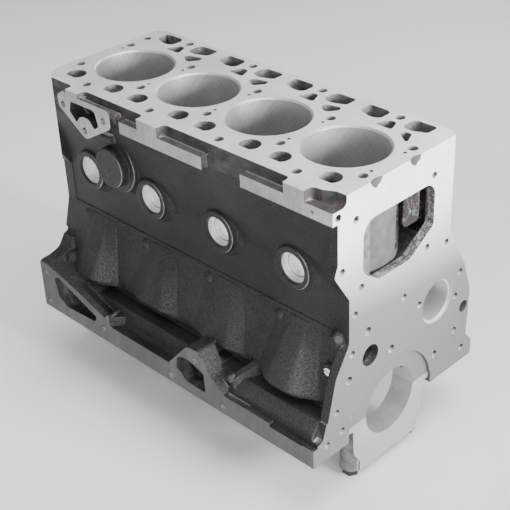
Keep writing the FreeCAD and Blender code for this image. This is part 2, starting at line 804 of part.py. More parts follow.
# Hollows
def water_jacket():
    """Space round the barrels, closed by the deck, and open at the front and through the plugs."""
    section = [
        (jacket_waist_y, jacket_floor_z, 6),
        (jacket_far_y, jacket_floor_z, 10),
        (jacket_far_y, jacket_top_z, 4),
        (jacket_near_y, jacket_top_z, 4),
        (jacket_near_y, jacket_top_z - jacket_near_step, jacket_round),
        (jacket_waist_y, waist_z + jacket_waist_rise, jacket_round),
    ]
    hollow = prism_x(section, rear_x + jacket_end_wall, front_x - jacket_end_wall)
    low_z = jacket_floor_z - overrun
    front_column = [
        (0, front_column_foot_z),
        (front_column_radius, front_column_foot_z, front_column_round),
        (front_column_radius, deck_height),
        (0, deck_height),
    ]
    solids = [placed(spun(front_column), (bridge_xs[0], bridge_bolt_y, 0), (0, 0, 1))]
    for x in cylinder_xs:
        solids.append(rod_z(x, 0, low_z, deck_height, barrel_radius))
        column_foot_z = deck_height - head_bolt_depth - head_bolt_column_radius
        solids.append(rod_z(x, near_bolt_y, column_foot_z, deck_height, near_column_radius))
    for x in bridge_xs:
        solids.append(rod_z(x, -bridge_bolt_y, low_z, deck_height, head_bolt_column_radius))
    for x in bridge_xs[1:]:
        solids.append(rod_z(x, bridge_bolt_y, low_z, deck_height, head_bolt_column_radius))
    return hollow.cut(solids)


def crankcase_bays():
    """One open bay under each cylinder, between the bearing webs, with the bore skirt left in it."""
    half = 0.5 * (bore_pitch - web_thickness)
    near_rail_y = rail_near_y + rail_wall
    far_rail_y = rail_far_y - rail_wall
    under_ledge_z = ledge_z - crankcase_wall
    section = [
        (near_rail_y, -rail_drop - overrun),
        (near_rail_y, 0.5 * rail_top_z, 6),
        (ledge_y + crankcase_wall, under_ledge_z, 5),
        (undercut_y + crankcase_wall, under_ledge_z, 5),
        (undercut_y + crankcase_wall, skirt_foot_z, bay_round),
        (wall_waist_y + crankcase_wall, crease_z, bay_round),
        (bay_roof_near_y, bay_roof_z, bay_round),
        (bay_shelf_y, bay_roof_z, 4),
        (bay_shelf_y, bay_shelf_z, 4),
        (bay_cam_y, bay_shelf_z, bay_round),
        (bay_far_y, cam_z, bay_round),
        (bay_far_y, under_ledge_z, bay_round),
        (far_rail_y, 0.5 * rail_top_z, 6),
        (far_rail_y, -rail_drop - overrun),
    ]
    rear_limit = main_xs[-1] + 0.5 * web_thickness
    front_limit = main_xs[0] - 0.5 * web_thickness
    bays = []
    for x in cylinder_xs:
        bay = prism_x(section, max(x - half, rear_limit), min(x + half, front_limit))
        skirt = rod_z(x, 0, skirt_bottom_z, bay_roof_z + overrun, bore_radius + skirt_wall)
        bays.append(bay.cut(skirt))
    return bays


def push_rod_shafts():
    """Lozenge shafts from the deck to the tappet floor, with a tappet bore under each."""
    cuts = []
    for x in cylinder_xs:
        for side in (1, -1):
            cuts.append(prism_z(beside(push_rod_lozenge, x, side), tappet_floor_z, above_deck_z))
            tappet_x = x + side * tappet_offset_x
            cuts.append(rod_z(tappet_x, tappet_y, cam_z, tappet_floor_z + overrun, tappet_radius))
    return cuts


def deck_water_holes():
    """Cast water openings of the deck: two by the far side and two rounded ones by the near side."""
    through_z = jacket_top_z - 2
    cuts = []
    for x in cylinder_xs:
        cuts.append(prism_z(beside(centre_pocket, x), deck_height - pocket_depth, above_deck_z))
        second = front_pocket if x == cylinder_xs[0] else bridge_pocket
        cuts.append(prism_z(beside(second, x), through_z, above_deck_z))
        for side in (1, -1):
            hole_x = x + side * near_water_offset
            left = hole_x - near_water_radius - overrun
            right = hole_x + near_water_radius + overrun
            hole = rod_z(hole_x, near_water_y, through_z, above_deck_z, near_water_radius)
            flat = box(left, right, near_water_flat_y, 0, through_z, above_deck_z)
            cuts.append(hole.common(flat))
    return cuts


def deck_drillings():
    """Head bolt holes, small vents beside them and the oil feed at the rear corner."""
    bolt_floor_z = deck_height - head_bolt_depth
    through_z = jacket_top_z - 2
    cuts = []
    for x in bridge_xs:
        for side in (1, -1):
            cuts.append(rod_z(x, side * bridge_bolt_y, bolt_floor_z, above_deck_z, head_bolt_radius))
            if side > 0 or x != bridge_xs[-1]:
                cuts.append(rod_z(x, side * vent_y, through_z, above_deck_z, vent_radius))
    for x in cylinder_xs:
        for y in (far_bolt_y, near_bolt_y):
            cuts.append(rod_z(x, y, bolt_floor_z, above_deck_z, head_bolt_radius))
    cuts.append(rod_z(bridge_xs[-1], feed_y, bolt_floor_z, above_deck_z, feed_radius))
    return cuts


def cylinder_bores():
    """Honed bores with a lead-in chamfer at the deck."""
    cuts = []
    for x in cylinder_xs:
        cuts.append(rod_z(x, 0, skirt_bottom_z - overrun, above_deck_z, bore_radius))
        foot = FreeCAD.Vector(x, 0, deck_height - bore_chamfer)
        cuts.append(Part.makeCone(bore_radius, bore_radius + bore_chamfer, bore_chamfer, foot))
    return cuts


# Bearing webs
def main_saddles():
    """Thick bearing seat of each web, squared off at the joint with its cap."""
    foot_y = saddle_shoulder_y + saddle_foot
    crown_y = cap_bolt_y + saddle_crown
    outline = [
        (-foot_y, -rail_drop),
        (-register_y, -rail_drop, 1),
        (-register_y, 0),
        (register_y, 0),
        (register_y, -rail_drop, 1),
        (foot_y, -rail_drop),
        (saddle_shoulder_y, saddle_knee_z, 10),
        (crown_y, saddle_height, saddle_round),
        (-crown_y, saddle_height, saddle_round),
        (-saddle_shoulder_y, saddle_knee_z, 10),
    ]
    return [prism_x(outline, x - 0.5 * main_width, x + 0.5 * main_width) for x in main_xs]


def front_cam_boss():
    """Boss on the inside of the front web, as long as the camshaft bush."""
    start_x = cam_bush_start_x - overrun
    return rod_x(start_x, main_xs[0], cam_y, cam_z, cam_boss_radius)


def bearing_cuts():
    """Line-bored mains, cap register, seal recesses, cap bolt and ring dowel holes."""
    start_x = rear_x - overrun
    end_x = front_x + overrun
    cuts = [rod_x(start_x, end_x, 0, 0, main_bore_radius)]
    cuts.append(box(start_x, end_x, -register_y, register_y, -rail_drop - overrun, 0))
    cuts.append(rod_x(front_main_face_x, end_x, seal_recess_y, seal_recess_z, seal_recess_radius))
    cuts.append(rod_x(start_x, rear_main_face_x, 0, 0, rear_seal_radius))
    for x, y in cap_bolt_places:
        cuts.append(rod_z(x, y, -overrun, cap_bolt_hole_depth, cap_bolt_hole_radius))
        cuts.append(rod_z(x, y, -overrun, ring_dowel_half_length, ring_dowel_radius))
    return cuts


def cam_tunnel():
    """Camshaft bores through every web, with the bush seat at the front and plug seat at the rear."""
    start_x = rear_x - overrun
    end_x = front_x + overrun
    cuts = [rod_x(start_x, end_x, cam_y, cam_z, cam_journal_radius)]
    cuts.append(rod_x(cam_bush_start_x, end_x, cam_y, cam_z, cam_bush_outer_radius))
    cuts.append(rod_x(cam_bush_end_x, end_x, cam_y, cam_z, cam_recess_radius))
    cuts.append(rod_x(start_x, rear_x + cam_plug_depth, cam_y, cam_z, cam_bush_outer_radius))
    return cuts


def oilways():
    """Main gallery along the block with a drilling to each main bearing."""
    start_x = rear_x - overrun
    end_x = front_x + overrun
    cuts = [rod_x(start_x, end_x, gallery_y, gallery_z, gallery_radius)]
    cuts.append(rod_x(front_x - gallery_mouth_depth, end_x, gallery_y, gallery_z, gallery_mouth_radius))
    cuts.append(rod_x(start_x, rear_x + gallery_mouth_depth, gallery_y, gallery_z, gallery_mouth_radius))
    share = oilway_start_radius / math.hypot(gallery_y, gallery_z)
    for x in main_xs:
        inner = (x, share * gallery_y, share * gallery_z)
        cuts.append(rod(inner, (x, gallery_y, gallery_z), oilway_radius))
    return cuts


# Front and rear faces
def front_face_cuts():
    """Water opening, idler hub bore, tapped holes and dowel holes of the timing end."""
    end_x = front_x + overrun
    water_mouth = water_mouth_near_half + water_mouth_far_half
    cuts = [prism_x(water_mouth, front_x - jacket_end_wall - 2, end_x)]
    cuts.append(rod_x(front_x - idler_depth, end_x, idler_y, idler_z, idler_radius))
    cuts.append(rod_x(front_x - idler_tail_depth, end_x, idler_y, idler_z, idler_tail_radius))
    for y, z in upper_front_bolts + middle_front_bolts + lower_front_bolts:
        cuts.append(rod_x(front_x - front_bolt_depth, end_x, y, z, front_bolt_radius))
    for y, z in large_front_bolts:
        cuts.append(rod_x(front_x - front_bolt_depth, end_x, y, z, large_bolt_radius))
    for y, z in front_dowel_places:
        cuts.append(rod_x(front_x - front_dowel_depth, end_x, y, z, front_dowel_radius))
    return cuts


def rear_face_cuts():
    """Flywheel-housing holes, dowel holes and the core opening behind the last cylinder."""
    start_x = rear_x - overrun
    cuts = [rod_x(start_x, rear_x + rear_plug_seat_depth, 0, rear_plug_z, rear_plug_radius)]
    for y, z in near_rear_bolts + far_rear_bolts:
        cuts.append(rod_x(start_x, rear_x + front_bolt_depth, y, z, large_bolt_radius))
    for y in (-rear_dowel_y, rear_dowel_y):
        depth = rear_dowel_length - rear_dowel_stand
        cuts.append(rod_x(start_x, rear_x + depth, y, rear_dowel_z, rear_dowel_radius))
    return cuts


# Side and rail drillings
def side_cuts():
    """Flange opening, pad hollows, core plug seats and tapped holes of the dark side."""
    outer_y = pad_face_y - overrun
    mouth = beside(flange_mouth, flange_x, 1, flange_top_z)
    cuts = [prism_y(mouth, outer_y, jacket_near_y + boss_sink)]
    rail_outer_y = rail_near_y - overrun
    for hollow in (rear_pad_hollow, middle_pad_hollow):
        cuts.append(prism_y(hollow, rail_outer_y, rail_near_y + pad_hollow_depth))
    for x in cylinder_xs:
        cuts.append(rod_y(x, plug_ring_y - overrun, jacket_waist_y + boss_sink, plug_z, plug_radius))
    ears = ((-flange_half, 0.0), (flange_half, 0.0), (0.0, -flange_drop))
    for dx, dz in ears:
        z = flange_top_z + dz
        cuts.append(rod_y(flange_x + dx, outer_y, pad_face_y + pad_bolt_depth, z, front_bolt_radius))
    for x, z in pad_bolt_places:
        cuts.append(rod_y(x, rail_outer_y, rail_near_y + pad_bolt_depth, z, front_bolt_radius))
    strip_pin_z = strip_top_z - 0.5 * strip_height
    cuts.append(rod_y(strip_pin_x, outer_y, pad_face_y + strip_pin_depth, strip_pin_z, vent_radius))
    plug_outer_y = oil_plug_boss_y - overrun
    plug_inner_y = oil_plug_boss_y + oil_plug_hole_depth
    cuts.append(rod_y(oil_plug_boss_x, plug_outer_y, plug_inner_y, oil_plug_boss_z, oil_plug_radius))
    return cuts


def pan_rail_holes():
    """Tapped holes for the sump along both rails."""
    cuts = []
    spacing = 0.5 * bore_pitch
    count = 2 * cylinder_count
    for i in range(count):
        x = 0.5 * (front_x + rear_x) + (i - 0.5 * (count - 1)) * spacing
        for y in (rail_near_y + rail_hole_inset, rail_far_y - rail_hole_inset):
            cuts.append(rod_z(x, y, -rail_drop - overrun, rail_hole_depth - rail_drop, rail_hole_radius))
    return cuts


def build_block():
    """The whole casting."""
    block = outer_casting().cut(corner_trims())
    block = block.cut([water_jacket()] + crankcase_bays())
    block = block.fuse(main_saddles() + [front_cam_boss()])
    cuts = cylinder_bores() + push_rod_shafts() + deck_water_holes() + deck_drillings()
    cuts += bearing_cuts() + cam_tunnel() + oilways() + front_face_cuts() + rear_face_cuts()
    cuts += side_cuts() + pan_rail_holes()
    return block.cut(cuts)


# Bearing caps and their fasteners
def build_cap(x):
    """One bearing cap: shoulders in the register, waisted cheeks and a leg round each bolt."""
    near_half = [
        (-cap_half_width, 0),
        (-cap_half_width, -cap_shoulder_height, 1.5),
        (-cap_waist_half_width, -cap_shoulder_height, 1.5),
        (-cap_waist_half_width + cap_knee_inset, cap_knee_z, 20),
        (-cap_foot_half_width, cap_foot_z, 12),
        (-cap_foot_half_width - cap_foot_inset, -cap_depth, 2),
    ]
    outline = near_half + beside(near_half, 0, -1)
    cap = prism_x(outline, x - 0.5 * main_width, x + 0.5 * main_width)
    legs = []
    holes = [rod_x(x - main_width, x + main_width, 0, 0, main_bore_radius)]
    for y in (-cap_bolt_y, cap_bolt_y):
        legs.append(rod_z(x, y, -cap_depth, -0.5 * cap_depth, cap_leg_radius))
        holes.append(rod_z(x, y, -cap_depth - overrun, overrun, cap_bolt_hole_radius))
        holes.append(rod_z(x, y, -ring_dowel_half_length, overrun, ring_dowel_radius))
    return cap.fuse(legs).cut(holes).removeSplitter()


def build_cap_bolt(x, y):
    """Hexagon-head bolt, head down, seated on the foot of its cap."""
    corners = []
    for i in range(6):
        angle = math.radians(60 * i)
        reach = FreeCAD.Vector(math.cos(angle), math.sin(angle), 0) * cap_bolt_head_radius
        corners.append((x + reach.x, y + reach.y))
    head = prism_z(corners, -cap_depth - cap_bolt_head_height, -cap_depth)
    shank = rod_z(x, y, -cap_depth, cap_bolt_reach, cap_bolt_radius)
    return head.fuse(shank).removeSplitter()


def build_ring_dowel(x, y):
    """Short sleeve round a cap bolt, half in the cap and half in the block."""
    inner_radius = cap_bolt_hole_radius + ring_dowel_bore_gap
    sleeve = rod_z(x, y, -ring_dowel_half_length, ring_dowel_half_length, ring_dowel_radius)
    return sleeve.cut(rod_z(x, y, -ring_dowel_half_length, ring_dowel_half_length, inner_radius))


# Plugs, bush and dowels
def build_cup(radius, depth):
    """Pressed cup plug about its own axis: open at z = 0 and closed at z = -depth."""
    inner_radius = radius - plug_sheet
    floor_z = plug_sheet - depth
    outline = [
        (0, -depth),
        (radius, -depth, plug_round),
        (radius, 0),
        (inner_radius, 0),
        (inner_radius, floor_z),
        (0, floor_z),
    ]
    return spun(outline)


def build_core_plug(x):
    return placed(build_cup(plug_radius, plug_depth), (x, plug_rim_y, plug_z), (0, -1, 0))


def build_rear_core_plug():
    position = (rear_x + rear_plug_inset, 0, rear_plug_z)
    return placed(build_cup(rear_plug_radius, plug_depth), position, (-1, 0, 0))


def build_rear_cam_plug():
    cup = build_cup(cam_bush_outer_radius, cam_plug_depth - rear_plug_inset)
    return placed(cup, (rear_x + rear_plug_inset, cam_y, cam_z), (-1, 0, 0))


def build_cam_bush():
    outer = rod_x(cam_bush_start_x, cam_bush_end_x, cam_y, cam_z, cam_bush_outer_radius)
    return outer.cut(rod_x(cam_bush_start_x, cam_bush_end_x, cam_y, cam_z, cam_bush_inner_radius))


def build_slot_plug(radius, length):
    """Headless screw plug with a screwdriver slot, its face at z = 0."""
    body = Part.makeCylinder(radius, length, FreeCAD.Vector(0, 0, -length))
    half = 0.5 * plug_slot_width
    return body.cut(box(-radius, radius, -half, half, -plug_slot_depth, overrun))


def build_side_oil_plug():
    plug = build_slot_plug(oil_plug_radius, oil_plug_length)
    position = (oil_plug_boss_x, oil_plug_boss_y - oil_plug_stand, oil_plug_boss_z)
    return placed(plug, position, (0, -1, 0))


def build_rear_gallery_plug():
    plug = build_slot_plug(gallery_mouth_radius, rear_gallery_plug_length)
    return placed(plug, (rear_x + rear_gallery_plug_inset, gallery_y, gallery_z), (-1, 0, 0))


def build_rear_dowel(y):
    start_x = rear_x - rear_dowel_stand
    return rod_x(start_x, start_x + rear_dowel_length, y, rear_dowel_z, rear_dowel_radius)


def build_all():
    pieces = {"cylinder_block": build_block()}
    for i, x in enumerate(main_xs):
        pieces["main_cap_%d" % (i + 1)] = build_cap(x)
    pieces["main_cap_bolts"] = Part.makeCompound([build_cap_bolt(x, y) for x, y in cap_bolt_places])
    pieces["cap_ring_dowels"] = Part.makeCompound([build_ring_dowel(x, y) for x, y in cap_bolt_places])
    for i, x in enumerate(cylinder_xs):
        pieces["core_plug_%d" % (i + 1)] = build_core_plug(x)
    pieces["rear_core_plug"] = build_rear_core_plug()
    pieces["rear_cam_plug"] = build_rear_cam_plug()
    pieces["cam_bush"] = build_cam_bush()
    pieces["side_oil_plug"] = build_side_oil_plug()
    pieces["rear_gallery_plug"] = build_rear_gallery_plug()
    pieces["rear_dowels"] = Part.makeCompound([build_rear_dowel(y) for y in (-rear_dowel_y, rear_dowel_y)])
    return pieces


os.makedirs("parts", exist_ok=True)
for name, shape in build_all().items():
    shape.exportStep("parts/%s.step" % name)
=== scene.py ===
from collections import namedtuple
import math
import bpy
from mathutils import Matrix, Vector

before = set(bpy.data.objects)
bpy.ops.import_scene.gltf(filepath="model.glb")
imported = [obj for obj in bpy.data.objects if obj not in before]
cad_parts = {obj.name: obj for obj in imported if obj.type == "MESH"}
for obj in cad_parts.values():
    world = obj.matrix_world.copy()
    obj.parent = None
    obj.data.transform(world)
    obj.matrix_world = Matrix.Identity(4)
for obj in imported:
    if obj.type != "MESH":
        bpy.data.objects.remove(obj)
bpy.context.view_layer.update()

# Places shared with the part's source, in metres
DECK_Z = 0.32375
FRONT_X = 0.260
REAR_X = -0.2575
RAIL_Z = -0.0155
RAIL_Y = -0.1439
PAD_Y = -0.1096
PITCH = 0.122
BORE_R = 0.052
BARREL_R = 0.0615
JOURNAL_R = 0.0455
RECESS_Y, RECESS_Z, RECESS_R, RECESS_DEPTH = -0.003, -0.012, 0.0795, 0.0045
CAM_Y, CAM_Z, CAM_R = 0.0825, 0.106, 0.0302
IDLER_X, IDLER_Y, IDLER_Z, IDLER_R = 0.225, -0.044, 0.094, 0.0170
PLUG_Z, PLUG_STEP_R = 0.2045, 0.0152
GALLERY_X, GALLERY_Y, GALLERY_Z, GALLERY_R = 0.200, 0.139, 0.070, 0.0110
DECK_HOLE_R = 0.0078
PAIRED_HOLE_Y = 0.043
EDGE_HOLE_Y, EDGE_HOLE_SHIFT = 0.08925, 0.00775
FLOOR_Z = -0.0895

# How far a face's own skin reaches, and the share of a normal that makes a face look one way
SKIN = 0.0004
END_SKIN = 0.0003
BORE_SKIN = 0.0026
BARREL_SKIN = 0.0010
FACING = 0.9
CHEEK_FACING = 0.95
MOUTH_FACING = 0.8
ASIDE = 0.7
UPRIGHT = 0.6

# How far the openness of a hole and of a pocket is felt, and how little of it each has
HOLE_REACH, POCKET_REACH = 0.014, 0.060
FRONT_OPEN, DEEP_OPEN, SIDE_OPEN, FLANGE_OPEN, POCKET_OPEN = 0.56, 0.25, 0.45, 0.4, 0.42

# Regions as (low, high) along x, y and z; None leaves a side open
NOTCHES = ((0.2420, None), (-0.070, 0.060), (0.300, None))
FRONT_HOLES = ((0.2500, None), (-0.1335, None), (None, 0.285))
DEEP_HOLES = ((0.2300, None), (None, None), (None, 0.285))
SIDE_HOLES = ((None, 0.150), (None, -0.1300), (None, None))
FLANGE_HOLES = ((None, None), (-0.110, -0.098), (0.262, None))
DECK_HOLES = ((None, None), (None, None), (0.27, None))
STRIPS = ((None, None), (PAD_Y - SKIN, PAD_Y + SKIN), (0.262, None))
BORES = ((-0.2398, 0.2398), (None, None), (0.10, None))
BARRELS = ((None, None), (None, None), (0.12, None))
MOUTH = ((0.2440, None), (-0.078, 0.086), (0.188, 0.292))
COLUMN = ((0.2200, 0.2590), (0.020, 0.075), (0.200, 0.300))
SCOOP = ((0.2180, FRONT_X - END_SKIN), (None, -0.070), (0.296, None))
CHANNEL = ((None, 0.2180), (PAD_Y + SKIN, -0.0800), (0.296, None))
REAR_PAD = ((None, -0.1850), (RAIL_Y + SKIN, -0.1120), (None, 0.050))
MIDDLE_PAD = ((0.022, 0.086), (RAIL_Y + SKIN, -0.1120), (None, 0.050))

# Where paint begins on the near and the far side, as (z, y), and beside the block's corners
NEAR_WALL = [(0.020, -0.1165), (0.028, -0.0935), (0.056, -0.0945),
             (0.1375, -0.0760), (0.197, -0.0772), (0.2567, -0.0905)]
FAR_WALL = [(0.010, 0.150), (0.030, 0.140), (0.106, 0.134),
            (0.138, 0.124), (0.168, 0.110), (0.182, 0.1058)]
CORNER_Y, CORNER_X, CORNER_REACH = 0.0985, 0.00125, 0.2333
REAR_EDGE = 0.006

# Directions of machining streaks, as stretches of a noise along x, y and z
ACROSS_FACE = (1.0, 5.0, 5.0)
DOWN_FRONT = (1.0, 5.0, 2.0)
DOWN_RAIL = (1.0, 1.0, 0.15)
DOWN_STRIP = (2.0, 1.0, 0.6)
ALONG_X = (5.0, 1.0, 1.0)

# Rounding of edges in the shading
CAST_EDGE, MILLED_EDGE, METAL_EDGE, FLOOR_EDGE = 0.0022, 0.0005, 0.0004, 0.0001
CAP_CAST_EDGE, CAP_MILLED_EDGE = 0.002, 0.0006
BEVEL_SAMPLES = 4
OPENNESS_SAMPLES = 4

# Camera: place in metres, turns in degrees, lens and sensor in millimetres
CAMERA_PLACE = (0.9465, -0.8862, 0.9021)
CAMERA_YAW, CAMERA_PITCH, CAMERA_ROLL = 46.01, 31.63, -2.48
CAMERA_LENS, CAMERA_SENSOR, CAMERA_REACH = 81.43, 36.0, 50.0

# Lamps: name, place, target, size in metres, power in watts, spread in degrees
WORLD_STRENGTH = 0.62
LAMPS = [
    ("top", (0.5, 0.2, 2.1), (0.1, 0, 0.25), (1.4, 1.4), 35.0, 180.0),
    ("front", (1.0, 0.12, 0.52), (0.26, 0.0, 0.33), (0.5, 0.3), 4.4, 60.0),
    ("right", (2.0, 0.5, 0.9), (0.2, 0, 0.2), (1.0, 1.0), 3.0, 180.0),
    ("key", (0.8, -1.25, 1.2), (0.05, -0.1, 0.12), (0.4, 0.4), 5.0, 180.0),
    ("strip", (0.32, -1.5, 0.14), (0.05, -0.1, 0.09), (0.22, 0.5), 2.4, 180.0),
    ("graze", (1.7, -0.75, 0.55), (0.0, -0.11, 0.10), (0.16, 0.5), 10.0, 180.0),
    ("sky", (-0.45, 1.5, 1.15), (0.15, 0.0, 0.32), (0.8, 0.8), 9.0, 180.0),
]
FLOOR_SIZE = 12.0

MAIN_CAPS = 5
CORE_PLUGS = 4

# What a surface looks like: colour, roughness, metallic, height in metres and specular level
Look = namedtuple("Look", "colour rough metal height shine")


def set_camera():
    yaw, pitch, roll = (math.radians(turn) for turn in (CAMERA_YAW, CAMERA_PITCH, CAMERA_ROLL))
    level = math.cos(pitch)
    back = Vector((math.sin(yaw) * level, -math.cos(yaw) * level, math.sin(pitch)))
    right = (-back).cross(Vector((0, 0, 1))).normalized()
    up = right.cross(-back)
    tilted_right = right * math.cos(roll) + up * math.sin(roll)
    tilted_up = up * math.cos(roll) - right * math.sin(roll)
    data = bpy.data.cameras.new("camera")
    data.sensor_width = CAMERA_SENSOR
    data.lens = CAMERA_LENS
    data.clip_end = CAMERA_REACH
    camera = bpy.data.objects.new("camera", data)
    turn = Matrix((tilted_right, tilted_up, back)).transposed()
    camera.matrix_world = Matrix.Translation(CAMERA_PLACE) @ turn.to_4x4()
    bpy.context.scene.collection.objects.link(camera)
    bpy.context.scene.camera = camera


def area_light(name, place, target, size, power, spread):
    data = bpy.data.lights.new(name, "AREA")
    data.spread = math.radians(spread)
    data.shape = "RECTANGLE"
    data.size, data.size_y = size
    data.energy = power
    lamp = bpy.data.objects.new(name, data)
    aim = Vector(target) - Vector(place)
    turn = aim.to_track_quat("-Z", "Y").to_matrix().to_4x4()
    lamp.matrix_world = Matrix.Translation(place) @ turn
    bpy.context.scene.collection.objects.link(lamp)


def set_light():
    world = bpy.data.worlds.new("studio")
    world.use_nodes = True
    back = world.node_tree.nodes["Background"]
    back.inputs["Color"].default_value = (1.0, 1.0, 1.0, 1.0)
    back.inputs["Strength"].default_value = WORLD_STRENGTH
    bpy.context.scene.world = world
    for lamp in LAMPS:
        area_light(*lamp)


class Value:
    """A number on a node socket, so that a mask can be written as arithmetic."""

    def __init__(self, graph, socket):
        self.graph = graph
        self.socket = socket

    def __add__(self, other):
        return self.graph.math("ADD", self, other)

    def __sub__(self, other):
        return self.graph.math("SUBTRACT", self, other)

    def __mul__(self, other):
        return self.graph.math("MULTIPLY", self, other)

    def __gt__(self, other):
        return self.graph.math("GREATER_THAN", self, other)

    def __lt__(self, other):
        return self.graph.math("LESS_THAN", self, other)

    def __or__(self, other):
        return self.graph.math("MAXIMUM", self, other)

    def __abs__(self):
        return self.graph.math("ABSOLUTE", self)


class Graph:
    """One material's node tree, with the place and the facing of each point at hand."""

    def __init__(self, name):
        self.material = bpy.data.materials.new(name)
        self.material.use_nodes = True
        self.tree = self.material.node_tree
        self.shader = self.tree.nodes["Principled BSDF"]
        self.place = self.tree.nodes.new("ShaderNodeTexCoord").outputs["Object"]
        self.x, self.y, self.z = self.split(self.place)
        geometry = self.tree.nodes.new("ShaderNodeNewGeometry")
        self.nx, self.ny, self.nz = self.split(geometry.outputs["True Normal"])

    def split(self, socket):
        node = self.tree.nodes.new("ShaderNodeSeparateXYZ")
        self.tree.links.new(socket, node.inputs[0])
        return [Value(self, node.outputs[i]) for i in range(3)]

    def plug(self, source, socket):
        if isinstance(source, Value):
            self.tree.links.new(source.socket, socket)
        elif hasattr(source, "is_output"):
            self.tree.links.new(source, socket)
        elif isinstance(source, tuple) and socket.type == "RGBA":
            socket.default_value = source + (1.0,)
        else:
            socket.default_value = source

    def math(self, operation, a, b=0.0):
        node = self.tree.nodes.new("ShaderNodeMath")
        node.operation = operation
        self.plug(a, node.inputs[0])
        self.plug(b, node.inputs[1])
        return Value(self, node.outputs[0])

    def ramp(self, value, low, high, out_low=0.0, out_high=1.0):
        """A clamped ramp between two values."""
        node = self.tree.nodes.new("ShaderNodeMapRange")
        self.plug(value, node.inputs["Value"])
        node.inputs["From Min"].default_value = low
        node.inputs["From Max"].default_value = high
        node.inputs["To Min"].default_value = out_low
        node.inputs["To Max"].default_value = out_high
        return Value(self, node.outputs["Result"])

    def curve(self, value, points):
        """A broken line through (value, result) points."""
        (low, start), (high, end) = points[:2]
        total = self.ramp(value, low, high, start, end)
        for (low, start), (high, end) in zip(points[1:], points[2:]):
            total = total + self.ramp(value, low, high, 0.0, end - start)
        return total

    def mix(self, share, low, high):
        """Between two colours or two numbers."""
        node = self.tree.nodes.new("ShaderNodeMix")
        colour = isinstance(low, tuple) or getattr(low, "type", "") == "RGBA"
        kind = "Color" if colour else "Float"
        node.data_type = "RGBA" if colour else "FLOAT"
        inputs = {s.identifier: s for s in node.inputs}
        outputs = {s.identifier: s for s in node.outputs}
        self.plug(share, inputs["Factor_Float"])
        self.plug(low, inputs["A_" + kind])
        self.plug(high, inputs["B_" + kind])
        result = outputs["Result_" + kind]
        return result if colour else Value(self, result)

    def layer(self, share, under, over):
        """One look over another, part by part."""
        return Look(*[self.mix(share, low, high) for low, high in zip(under, over)])

    def noise(self, scale, detail=4.0, rough=0.55, stretch=None, place=None):
        """Fractal noise at the point, or at another place, stretched along the axes."""
        node = self.tree.nodes.new("ShaderNodeTexNoise")
        node.inputs["Scale"].default_value = scale
        node.inputs["Detail"].default_value = detail
        node.inputs["Roughness"].default_value = rough
        self.plug(place or self.stretched(stretch), node.inputs["Vector"])
        return Value(self, node.outputs["Fac"])

    def stretched(self, stretch):
        if stretch is None:
            return self.place
        node = self.tree.nodes.new("ShaderNodeMapping")
        node.inputs["Scale"].default_value = stretch
        self.plug(self.place, node.inputs["Vector"])
        return node.outputs["Vector"]

    def cells(self, scale):
        """Distance to the nearest of scattered points."""
        node = self.tree.nodes.new("ShaderNodeTexVoronoi")
        node.inputs["Scale"].default_value = scale
        self.plug(self.place, node.inputs["Vector"])
        return Value(self, node.outputs["Distance"])

    def vector(self, x, y, z=0.0):
        node = self.tree.nodes.new("ShaderNodeCombineXYZ")
        for part, socket in zip((x, y, z), node.inputs):
            self.plug(part, socket)
        return node.outputs[0]

    def openness(self, reach):
        """1 on an open face, less where other walls stand within reach."""
        node = self.tree.nodes.new("ShaderNodeAmbientOcclusion")
        node.samples = OPENNESS_SAMPLES
        node.only_local = True
        node.inputs["Distance"].default_value = reach
        return Value(self, node.outputs["AO"])

    def within(self, region):
        """1 inside a region given as (low, high) along x, y and z."""
        tests = []
        for value, (low, high) in zip((self.x, self.y, self.z), region):
            if low is not None:
                tests.append(value > low)
            if high is not None:
                tests.append(value < high)
        inside = tests[0]
        for test in tests[1:]:
            inside = inside * test
        return inside

    def finish(self, look, bevel):
        """Sets the shader from a look, with edges rounded in the shading."""
        softened = self.tree.nodes.new("ShaderNodeBevel")
        softened.samples = BEVEL_SAMPLES
        self.plug(bevel, softened.inputs["Radius"])
        bump = self.tree.nodes.new("ShaderNodeBump")
        bump.inputs["Distance"].default_value = 1.0
        self.plug(look.height, bump.inputs["Height"])
        self.plug(softened.outputs[0], bump.inputs["Normal"])
        self.plug(bump.outputs[0], self.shader.inputs["Normal"])
        self.plug(look.colour, self.shader.inputs["Base Color"])
        self.plug(look.rough, self.shader.inputs["Roughness"])
        self.plug(look.metal, self.shader.inputs["Metallic"])
        self.plug(look.shine, self.shader.inputs["Specular IOR Level"])
        return self.material


def length(g, a, b):
    return g.math("SQRT", a * a + b * b)


def radial(g, a, b, centre_a, centre_b):
    """Distance from an axis that crosses the (a, b) plane at a centre."""
    return length(g, a - centre_a, b - centre_b)


def from_cylinder(g, shift=2.0):
    """Place along x within one bore's share of the block, 0 at the bore's own axis."""
    return g.math("FLOORED_MODULO", g.x + shift * PITCH, PITCH) - 0.5 * PITCH


def grey(value, warm=0.0):
    return (value + warm, value, value - warm)


